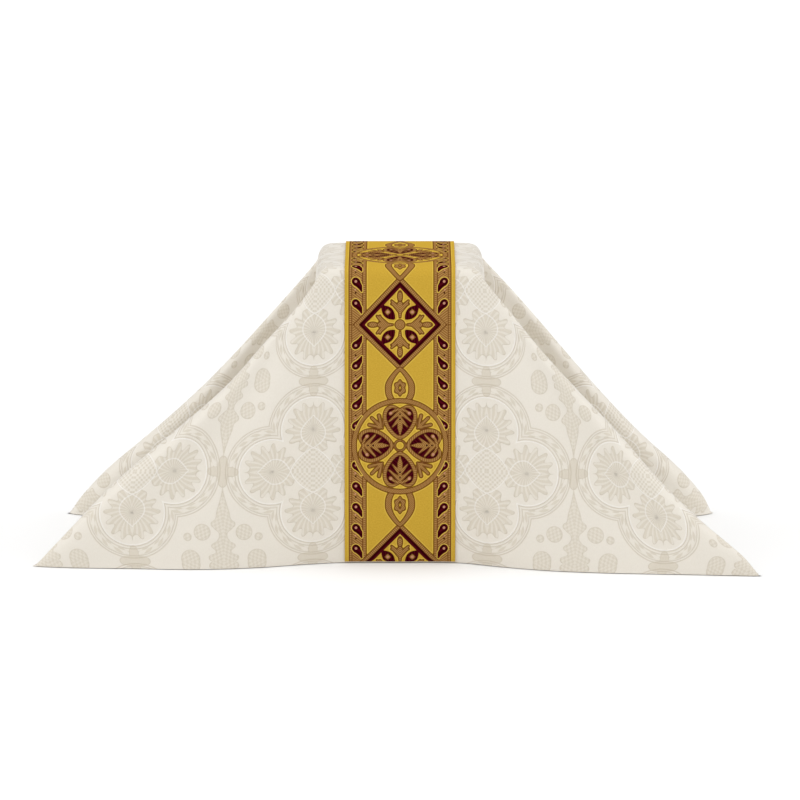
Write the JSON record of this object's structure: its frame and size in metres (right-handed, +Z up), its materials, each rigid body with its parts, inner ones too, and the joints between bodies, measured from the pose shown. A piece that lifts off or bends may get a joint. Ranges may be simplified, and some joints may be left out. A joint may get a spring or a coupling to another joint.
{
  "type": "chalice veil",
  "caption": "Square cream damask veil draped as over a pall and cup, its four corners drawn out, with one broad woven band from hem to hem.",
  "frame": {"origin": "middle of the veil's outline on the surface that its hem stands on", "axes": "+X to the wearer's right of the front panel as seen from the front, +Y towards the back panel, +Z up"},
  "size_m": [0.6026, 0.2872, 0.2403],
  "materials": {
    "damask": "self-coloured ivory damask with a satin ground, lined",
    "orphrey": "woven gold band with burgundy and tan figures"
  },
  "bodies": {
    "root": {"veil_cloth": "damask", "orphrey_band": "orphrey"}
  },
  "joints": []
}
